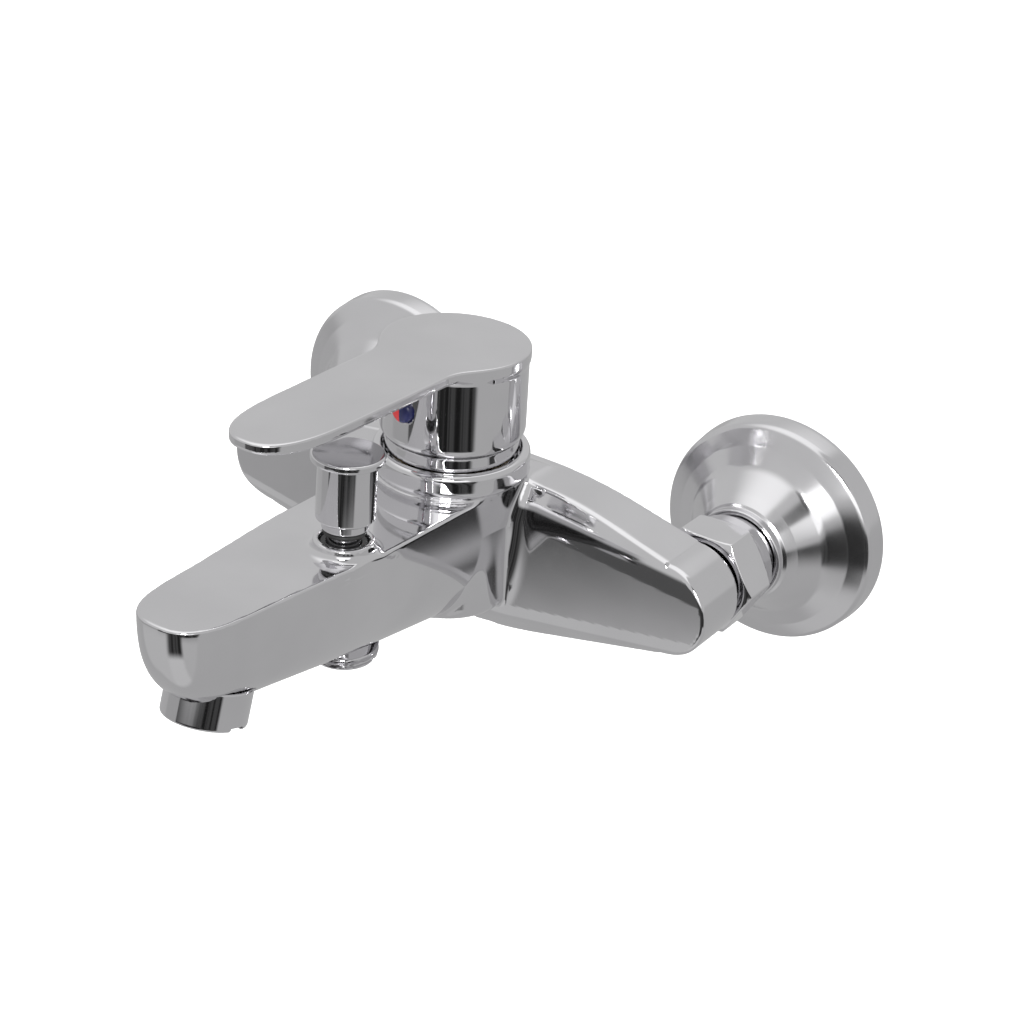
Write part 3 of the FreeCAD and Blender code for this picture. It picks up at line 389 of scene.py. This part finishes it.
def rounded(profile, steps=6):
    """The profile with its corners rounded by arcs, as (radius, height) points."""
    points = []
    for number, (radius, height, fillet) in enumerate(profile):
        here = Vector((radius, height))
        if fillet <= 0 or number in (0, len(profile) - 1):
            points.append(here)
            continue
        before = Vector(profile[number - 1][:2]) - here
        after = Vector(profile[number + 1][:2]) - here
        turn = before.angle(after)
        reach = min(fillet / math.tan(turn / 2), before.length * 0.49, after.length * 0.49)
        start = here + before.normalized() * reach
        end = here + after.normalized() * reach
        for step in range(steps + 1):
            share = step / steps
            points.append(start.lerp(here, share).lerp(here.lerp(end, share), share))
    return points


def spun(name, profile, matrix, turns=128, wave=None):
    """Spins the profile about local Z; wave(angle, height) may add to the radius."""
    points = rounded(profile)
    verts, faces, rings = [], [], []
    for point in points:
        if point.x < 1e-6:
            rings.append([len(verts)])
            verts.append(Vector((0, 0, point.y)))
            continue
        ring = []
        for turn in range(turns):
            angle = 2 * math.pi * turn / turns
            radius = point.x + (wave(angle, point.x, point.y) if wave else 0.0)
            ring.append(len(verts))
            verts.append(Vector((radius * math.cos(angle), radius * math.sin(angle), point.y)))
        rings.append(ring)
    closed = (points[0] - points[-1]).length < 1e-6
    if closed:
        rings[-1] = rings[0]
    for low, high in zip(rings, rings[1:]):
        for turn in range(turns):
            after = (turn + 1) % turns
            if len(low) == 1 and len(high) == 1:
                break
            if len(low) == 1:
                faces.append((low[0], high[after], high[turn]))
            elif len(high) == 1:
                faces.append((low[turn], low[after], high[0]))
            else:
                faces.append((low[turn], low[after], high[after], high[turn]))
    return finished_mesh(name, verts, faces, matrix)


def finished_mesh(name, verts, faces, matrix, sharp=32.0):
    used = sorted({index for face in faces for index in face})
    place = {index: number for number, index in enumerate(used)}
    mesh = bpy.data.meshes.new(name)
    moved = [(matrix @ verts[index]) * MM for index in used]
    mesh.from_pydata(moved, [], [[place[index] for index in face] for face in faces])
    mesh.update()
    work = bmesh.new()
    work.from_mesh(mesh)
    bmesh.ops.recalc_face_normals(work, faces=work.faces)
    work.to_mesh(mesh)
    work.free()
    mesh.polygons.foreach_set("use_smooth", [True] * len(mesh.polygons))
    mesh.set_sharp_from_angle(angle=math.radians(sharp))
    piece = bpy.data.objects.new(name, mesh)
    bpy.context.scene.collection.objects.link(piece)
    return piece


def off_wall(x, z=0.0):
    """Local +Z points off the wall, from the wall plane at this inlet."""
    return Matrix.Translation((x, 0, z)) @ Matrix.Rotation(math.radians(90), 4, "X")


def on_boss():
    return Matrix.Translation(DIVERTER) @ Matrix.Rotation(-SPOUT_RISE, 4, "X")


def on_jet():
    return Matrix.Translation(MOUTH) @ Matrix.Rotation(math.radians(180) - JET_LEAN, 4, "X")


def about_lever(z=0.0):
    return Matrix.Translation((0, AXIS_Y, z))


def moved(piece, matrix):
    """Moves a net's mesh from its own axis into the frame; its normals follow."""
    shift = matrix.copy()
    shift.translation = shift.translation * MM
    piece.data.transform(shift)
    return piece


# Materials.

def material(name, colour, metallic, roughness, coat=0.0):
    made = bpy.data.materials.new(name)
    made.use_nodes = True
    nodes = made.node_tree.nodes
    shader = nodes["Principled BSDF"]
    shader.inputs["Base Color"].default_value = (*colour, 1.0)
    shader.inputs["Metallic"].default_value = metallic
    shader.inputs["Roughness"].default_value = roughness
    if coat:
        shader.inputs["Coat Weight"].default_value = coat
        shader.inputs["Coat Roughness"].default_value = 0.08
    return made, made.node_tree, shader


def texture(tree, kind, scale, **inputs):
    node = tree.nodes.new(kind)
    place = tree.nodes.new("ShaderNodeTexCoord")
    tree.links.new(place.outputs["Object"], node.inputs["Vector"])
    node.inputs["Scale"].default_value = scale
    for key, value in inputs.items():
        node.inputs[key].default_value = value
    return node


def spread(tree, source, low, high, target, start=0.3, end=0.7):
    """Maps a texture's value to a range and feeds it to a socket."""
    ramp = tree.nodes.new("ShaderNodeMapRange")
    ramp.inputs["From Min"].default_value = start
    ramp.inputs["From Max"].default_value = end
    ramp.inputs["To Min"].default_value = low
    ramp.inputs["To Max"].default_value = high
    tree.links.new(source, ramp.inputs["Value"])
    tree.links.new(ramp.outputs["Result"], target)
    return ramp


def tinted(tree, source, dark, light, target, start=0.3, end=0.7):
    mix = tree.nodes.new("ShaderNodeMix")
    mix.data_type = "RGBA"
    mix.inputs["A"].default_value = (*dark, 1.0)
    mix.inputs["B"].default_value = (*light, 1.0)
    spread(tree, source, 0.0, 1.0, mix.inputs["Factor"], start, end)
    tree.links.new(mix.outputs["Result"], target)


def bumped(tree, shader, source, strength, distance):
    bump = tree.nodes.new("ShaderNodeBump")
    bump.inputs["Strength"].default_value = strength
    bump.inputs["Distance"].default_value = distance
    tree.links.new(source, bump.inputs["Height"])
    tree.links.new(bump.outputs["Normal"], shader.inputs["Normal"])


def chrome(name, wave_size, wave_depth):
    """Polished chrome plate: slow waves of a hand-polished casting, faint haze and wipe marks."""
    made, tree, shader = material(name, (0.74, 0.735, 0.755), 1.0, 0.05)
    haze = texture(tree, "ShaderNodeTexNoise", 90.0, Detail=4.0, Roughness=0.6)
    spread(tree, haze.outputs["Fac"], 0.035, 0.085, shader.inputs["Roughness"])
    tone = texture(tree, "ShaderNodeTexNoise", 28.0, Detail=3.0)
    tinted(tree, tone.outputs["Fac"], (0.71, 0.705, 0.72), (0.77, 0.765, 0.78), shader.inputs["Base Color"])
    wave = texture(tree, "ShaderNodeTexNoise", wave_size, Detail=1.0)
    bumped(tree, shader, wave.outputs["Fac"], 1.0, wave_depth)
    return made


def pressed_chrome():
    """Chrome on spun sheet: soft reflections, with faint haze and a slight variation in tone."""
    made, tree, shader = material("pressed_chrome", (0.72, 0.715, 0.73), 1.0, 0.2)
    haze = texture(tree, "ShaderNodeTexNoise", 60.0, Detail=3.0)
    spread(tree, haze.outputs["Fac"], 0.13, 0.19, shader.inputs["Roughness"])
    tone = texture(tree, "ShaderNodeTexNoise", 30.0, Detail=3.0)
    tinted(tree, tone.outputs["Fac"], (0.69, 0.685, 0.70), (0.75, 0.745, 0.76), shader.inputs["Base Color"])
    return made


def brass():
    made, tree, shader = material("turned_brass", (0.70, 0.55, 0.30), 1.0, 0.25)
    tone = texture(tree, "ShaderNodeTexNoise", 160.0, Detail=4.0)
    tinted(tree, tone.outputs["Fac"], (0.55, 0.41, 0.21), (0.76, 0.61, 0.36), shader.inputs["Base Color"])
    spread(tree, tone.outputs["Fac"], 0.18, 0.36, shader.inputs["Roughness"])
    lines = texture(tree, "ShaderNodeTexWave", 900.0, Distortion=1.0)
    lines.bands_direction = "Y"
    bumped(tree, shader, lines.outputs["Fac"], 0.15, 0.0001)
    return made


def steel():
    made, tree, shader = material("satin_steel", (0.58, 0.58, 0.59), 1.0, 0.28)
    grain = texture(tree, "ShaderNodeTexNoise", 700.0, Detail=2.0)
    spread(tree, grain.outputs["Fac"], 0.2, 0.36, shader.inputs["Roughness"])
    bumped(tree, shader, grain.outputs["Fac"], 0.1, 0.0001)
    return made


def moulded(name, dark, light, roughness, grain=900.0):
    made, tree, shader = material(name, light, 0.0, roughness)
    tone = texture(tree, "ShaderNodeTexNoise", 120.0, Detail=3.0)
    tinted(tree, tone.outputs["Fac"], dark, light, shader.inputs["Base Color"])
    skin = texture(tree, "ShaderNodeTexNoise", grain, Detail=2.0)
    spread(tree, skin.outputs["Fac"], roughness * 0.8, roughness * 1.25, shader.inputs["Roughness"])
    bumped(tree, shader, skin.outputs["Fac"], 0.12, 0.0001)
    return made


MATERIALS = {
    "chrome": chrome("polished_chrome", 22.0, 0.00012),
    "pressed": pressed_chrome(),
    "brass": brass(),
    "steel": steel(),
    "rubber": moulded("black_rubber", (0.012, 0.012, 0.012), (0.03, 0.03, 0.03), 0.55),
    "ceramic": moulded("lapped_ceramic", (0.80, 0.79, 0.74), (0.88, 0.87, 0.82), 0.15),
    "white_plastic": moulded("white_plastic", (0.70, 0.70, 0.67), (0.78, 0.78, 0.75), 0.42),
    "grey_plastic": moulded("grey_plastic", (0.30, 0.31, 0.32), (0.38, 0.39, 0.40), 0.45),
    "black_plastic": moulded("black_plastic", (0.010, 0.010, 0.011), (0.02, 0.02, 0.022), 0.3),
    "red_plastic": moulded("red_plastic", (0.50, 0.015, 0.02), (0.68, 0.03, 0.035), 0.22),
    "blue_plastic": moulded("navy_plastic", (0.012, 0.014, 0.06), (0.02, 0.024, 0.10), 0.22),
}


def coat(piece, slot):
    piece.data.materials.clear()
    piece.data.materials.append(MATERIALS[slot])


for entry in frame["record"]["subparts"]:
    node = frame["nodes"][entry["node"]]
    coat(node, entry["material_slot"])


def stand_for(piece, node, body, slot, finish=None):
    """The piece shows in place of a CAD node."""
    coat(piece, finish or slot)
    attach(piece, body)
    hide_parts(node)


# Pieces.

STEP = 0.8


def casting():
    piece = net("casting_shell", casting_field, (-91, -210.4, -28.5), (91, -51.0, 34.0), STEP)
    stand_for(piece, "mixer_body", "casting", "chrome")


def handle():
    piece = net("handle_shell", handle_field, (-23, -97, 31.5), (23, 23, 70.5), STEP * 0.75)
    stand_for(moved(piece, about_lever()), "lever_handle", "handle", "chrome")


def union_nut(side, name):
    piece = net("nut_shell_" + name, union_nut_field, (-18.2, -18.2, 30.0), (18.2, 18.2, 49.8), STEP * 0.5)
    stand_for(moved(piece, off_wall(side * INLET_X)), "union_nut_" + name, "nut_" + name, "chrome")


def rosette(side, name):
    """Pressed cover: rolled rim, flat annulus and a flared cone up to the neck."""
    outside = [(36.9, 0.0, 0), (36.9, 1.2, 0.5), (36.3, 8.0, 2.8), (30.2, 10.6, 6.0), (24.2, 14.2, 9.0)]
    outside += [(18.4, 21.0, 9.0), (16.0, 24.0, 1.0), (15.0, 24.6, 0.4), (15.0, 27.0, 0.6)]
    inside = [(13.6, 27.0, 0.3), (13.6, 23.0, 0.5), (17.2, 20.6, 6.0), (23.0, 13.6, 8.0)]
    inside += [(29.6, 9.2, 5.0), (34.7, 7.0, 2.0), (35.7, 0.0, 0.2), (36.9, 0.0, 0)]
    piece = spun("rosette_shell_" + name, outside + inside, off_wall(side * INLET_X), 192)
    stand_for(piece, "rosette_" + name, "cover_" + name, "chrome", "pressed")


def thread_wave(pitch, depth, low, high, crest):
    """A helical ridge between two heights on walls near the crest radius."""
    def wave(angle, radius, height):
        if abs(radius - crest) > 0.05 or height <= low or height >= high:
            return 0.0
        phase = (height / pitch - angle / (2 * math.pi)) % 1.0
        ridge = min(1.0, max(0.0, 1.6 - abs(phase * 2 - 1) * 2.2))
        fade = min(1.0, (height - low) / pitch, (high - height) / pitch)
        return -depth * (1 - ridge * fade)
    return wave


def threaded(name, inner, crest, low, high, pitch, depth, matrix, extra):
    """A tube with a helical thread between two heights, then the extra corners."""
    steps = int((high - low) / pitch * 16)
    corners = [(inner, low, 0), (crest - depth, low, 0)]
    for step in range(1, steps):
        corners.append((crest, low + (high - low) * step / steps, 0))
    corners += extra + [(inner, low, 0)]
    return spun(name, corners, matrix, 96, thread_wave(pitch, depth, low, high, crest))


def outlet():
    seat = Matrix.Translation((0, OUTLET_Y, OUTLET_END))
    stem, shoulder, top = OUTLET_STEM - 0.05, OUTLET_SHOULDER - OUTLET_END, OUTLET_SEAT - OUTLET_END
    extra = [(OUTLET_R, shoulder, 0), (stem, shoulder, 0), (stem, top, 0), (OUTLET_BORE, top, 0)]
    piece = threaded("outlet_thread", OUTLET_BORE, OUTLET_R, 0.0, 4.3, 1.5, 1.0, seat, extra)
    stand_for(piece, "outlet_nipple", "casting", "chrome")


def diverter():
    knob = [(0, 12.5, 0), (3.0, 12.5, 0), (3.0, 3.4, 0), (6.8, 3.4, 0.7), (6.8, 6.5, 0.5), (8.6, 6.5, 1.6)]
    knob += [(8.6, 24.0, 0.5), (10.7, 24.6, 0.9), (10.7, 26.8, 0.9), (0, 26.8, 0)]
    stand_for(spun("knob_shell", knob, on_boss()), "diverter_knob", "diverter", "chrome")
    stem = [(0, -25, 0), (2, -25, 0.3), (2, -9, 0), (4.8, -9, 0.4), (4.8, 1.6, 0.3), (4.2, 2.0, 0.2)]
    stem += [(4.2, 3.35, 0), (2.95, 3.35, 0), (2.95, 12.0, 0), (0, 12.0, 0)]
    stand_for(spun("stem_turning", stem, on_boss(), 96), "diverter_stem", "diverter", "chrome")
    gland = [(4.86, -6.5, 0), (7.28, -6.5, 0), (7.28, -1.6, 0.2), (6.6, -0.8, 0.3), (5.3, -0.9, 0.3)]
    gland += [(4.86, -1.5, 0), (4.86, -6.5, 0)]
    stand_for(spun("gland_ring", gland, on_boss(), 96), "diverter_gland", "casting", "black_plastic")


def aerator():
    piece = net("aerator_shell", aerator_field, (-12.9, -12.9, -8.4), (12.9, 12.9, JET_END + 0.5), STEP * 0.5)
    stand_for(moved(piece, on_jet()), "aerator_housing", "casting", "chrome")


def indicator():
    """Two half buttons, domed at the front, set side by side."""
    for name, sign in (("red", -1), ("blue", 1)):
        verts, faces = [], []
        rings = [(0.0, 24.1), (1.5, 24.05), (2.7, 23.9), (3.4, 23.6), (3.75, 23.1), (3.8, 22.6), (3.8, 21.15)]
        steps = 24
        for radius, height in rings:
            for step in range(steps + 1):
                angle = math.pi * step / steps - math.pi / 2
                verts.append(Vector((sign * (radius * math.cos(angle)), radius * math.sin(angle), height)))
        row = steps + 1
        for ring in range(len(rings) - 1):
            for step in range(steps):
                start = ring * row + step
                faces.append((start, start + 1, start + row + 1, start + row))
        front = [ring * row for ring in range(len(rings))]
        back = [ring * row + steps for ring in range(len(rings))]
        for low, high, near, far in zip(front, front[1:], back, back[1:]):
            faces.append((low, near, far, high))
        faces.append(tuple(range((len(rings) - 1) * row, len(rings) * row)))
        turn = Matrix.Rotation(PLUG_TURN, 4, "Z") @ Matrix.Rotation(math.radians(90), 4, "X")
        matrix = about_lever(PLUG_Z) @ turn
        piece = finished_mesh("plug_half_" + name, verts, faces, matrix)
        merge_doubles(piece)
        stand_for(piece, "indicator_" + name, "handle", name + "_plastic")


def merge_doubles(piece):
    work = bmesh.new()
    work.from_mesh(piece.data)
    bmesh.ops.remove_doubles(work, verts=work.verts, dist=1e-6)
    bmesh.ops.recalc_face_normals(work, faces=work.faces)
    work.to_mesh(piece.data)
    work.free()
    piece.data.polygons.foreach_set("use_smooth", [True] * len(piece.data.polygons))
    piece.data.set_sharp_from_angle(angle=math.radians(35))


casting()
handle()
for side, name in ((-1, "left"), (1, "right")):
    union_nut(side, name)
    rosette(side, name)
outlet()
diverter()
aerator()
indicator()


# Camera, floor and studio light.

def camera():
    azimuth, down, roll = (math.radians(angle) for angle in (CAMERA_AZIMUTH, CAMERA_DOWN, CAMERA_ROLL))
    ahead = Vector((-math.sin(azimuth) * math.cos(down), math.cos(azimuth) * math.cos(down), -math.sin(down)))
    right = ahead.cross(Vector((0, 0, 1))).normalized()
    up = right.cross(ahead)
    turned_right = right * math.cos(roll) + up * math.sin(roll)
    turned_up = up * math.cos(roll) - right * math.sin(roll)
    data = bpy.data.cameras.new("camera")
    data.sensor_width = 36.0
    data.lens = LENS_PX / FRAME_PX * 36.0
    data.clip_end = 20.0
    item = bpy.data.objects.new("camera", data)
    item.matrix_world = Matrix.Translation(Vector(CAMERA_AT) * MM) @ Matrix((
        (turned_right.x, turned_up.x, -ahead.x, 0),
        (turned_right.y, turned_up.y, -ahead.y, 0),
        (turned_right.z, turned_up.z, -ahead.z, 0),
        (0, 0, 0, 1)))
    bpy.context.scene.collection.objects.link(item)
    bpy.context.scene.camera = item


def panel(name, centre, size, target, power, glossy=True):
    light = bpy.data.lights.new(name, "AREA")
    light.shape = "RECTANGLE"
    light.size, light.size_y = size
    light.energy = power
    item = bpy.data.objects.new(name, light)
    item.location = centre
    item.rotation_euler = (Vector(target) - Vector(centre)).to_track_quat("-Z", "Y").to_euler()
    item.visible_glossy = glossy
    bpy.context.scene.collection.objects.link(item)


def floor():
    mesh = bpy.data.meshes.new("floor")
    half = 6.0
    level = -0.30
    mesh.from_pydata([(-half, -half, level), (half, -half, level), (half, half, level), (-half, half, level)],
                     [], [(0, 1, 2, 3)])
    item = bpy.data.objects.new("floor", mesh)
    made, tree, shader = material("pale_floor", (0.93, 0.93, 0.93), 0.0, 0.9)
    item.data.materials.append(made)
    item.visible_glossy = False
    bpy.context.scene.collection.objects.link(item)


camera()
floor()


def smoothed(tree, source, start, end):
    """0 below start, 1 above end."""
    ramp = tree.nodes.new("ShaderNodeMapRange")
    ramp.interpolation_type = "SMOOTHSTEP"
    ramp.inputs["From Min"].default_value = start
    ramp.inputs["From Max"].default_value = end
    tree.links.new(source, ramp.inputs["Value"])
    return ramp.outputs["Result"]


def mixed(tree, factor, low, high):
    """low where the factor is 0, high where it is 1; each a number or a socket."""
    mix = tree.nodes.new("ShaderNodeMix")
    tree.links.new(factor, mix.inputs["Factor"])
    for socket, value in (("A", low), ("B", high)):
        if isinstance(value, (int, float)):
            mix.inputs[socket].default_value = value
        else:
            tree.links.new(value, mix.inputs[socket])
    return mix.outputs["Result"]


def studio():
    """Even white light all round; polished faces see a room with a dark side at the front."""
    world = bpy.data.worlds.new("studio")
    world.use_nodes = True
    bpy.context.scene.world = world
    tree = world.node_tree
    direction = tree.nodes.new("ShaderNodeTexCoord")
    parts = tree.nodes.new("ShaderNodeSeparateXYZ")
    tree.links.new(direction.outputs["Generated"], parts.inputs["Vector"])
    x, y, z = (parts.outputs[name] for name in "XYZ")
    # The room's walls by direction: a dark side ahead of the spout, lit up again past its left end.
    folds = tree.nodes.new("ShaderNodeTexNoise")
    folds.noise_dimensions = "1D"
    folds.inputs["Scale"].default_value = 9.0
    tree.links.new(x, folds.inputs["W"])
    curtain = mixed(tree, smoothed(tree, folds.outputs["Fac"], 0.4, 0.6), 0.012, 0.06)
    dark = mixed(tree, smoothed(tree, x, -0.45, 0.1), 0.09, curtain)
    ahead = mixed(tree, smoothed(tree, x, -0.55, -0.52), 0.40, dark)
    table_left = mixed(tree, smoothed(tree, z, -0.53, -0.47), 0.55, ahead)
    table_right = mixed(tree, smoothed(tree, z, -0.68, -0.60), 0.60, ahead)
    table_far = mixed(tree, smoothed(tree, z, -0.55, -0.475), 0.5, ahead)
    table = mixed(tree, smoothed(tree, x, -0.35, -0.15), table_left, table_right)
    table = mixed(tree, smoothed(tree, x, 0.30, 0.45), table, table_far)
    below = mixed(tree, smoothed(tree, y, -0.36, -0.24), table, 0.46)
    # Upper front right: a bright window with a dark wall above it.
    gap = mixed(tree, smoothed(tree, z, 0.68, 0.76), 0.06, 0.62)
    window = mixed(tree, smoothed(tree, z, 0.46, 0.54), 1.3, gap)
    sill = mixed(tree, smoothed(tree, z, 0.06, 0.14), 0.46, window)
    front_right = mixed(tree, smoothed(tree, y, -0.50, -0.40), sill, 0.55)
    high = mixed(tree, smoothed(tree, z, 0.55, 0.95), 0.62, 1.15)
    above = mixed(tree, smoothed(tree, x, 0.18, 0.30), high, front_right)
    room = mixed(tree, smoothed(tree, z, -0.10, 0.02), below, above)
    path = tree.nodes.new("ShaderNodeLightPath")
    level = mixed(tree, path.outputs["Is Glossy Ray"], 1.0, room)
    tint = tree.nodes.new("ShaderNodeCombineColor")
    tree.links.new(level, tint.inputs["Red"])
    tree.links.new(level, tint.inputs["Green"])
    tree.links.new(level, tint.inputs["Blue"])
    background = tree.nodes["Background"]
    tree.links.new(tint.outputs["Color"], background.inputs["Color"])
    background.inputs["Strength"].default_value = 1.0


studio()
bpy.context.scene.view_settings.view_transform = "Standard"
panel("key_light", (-0.5, -0.9, 1.3), (0.7, 0.7), (0, -0.1, 0), 8.0, glossy=False)
panel("camera_side_light", (0.60, -1.02, 0.56), (0.3, 0.3), (0, -0.1, 0), 6.0)
panel("floor_light", (0.0, 0.0, 2.5), (2.5, 2.5), (0, 0, 0), 60.0, glossy=False)
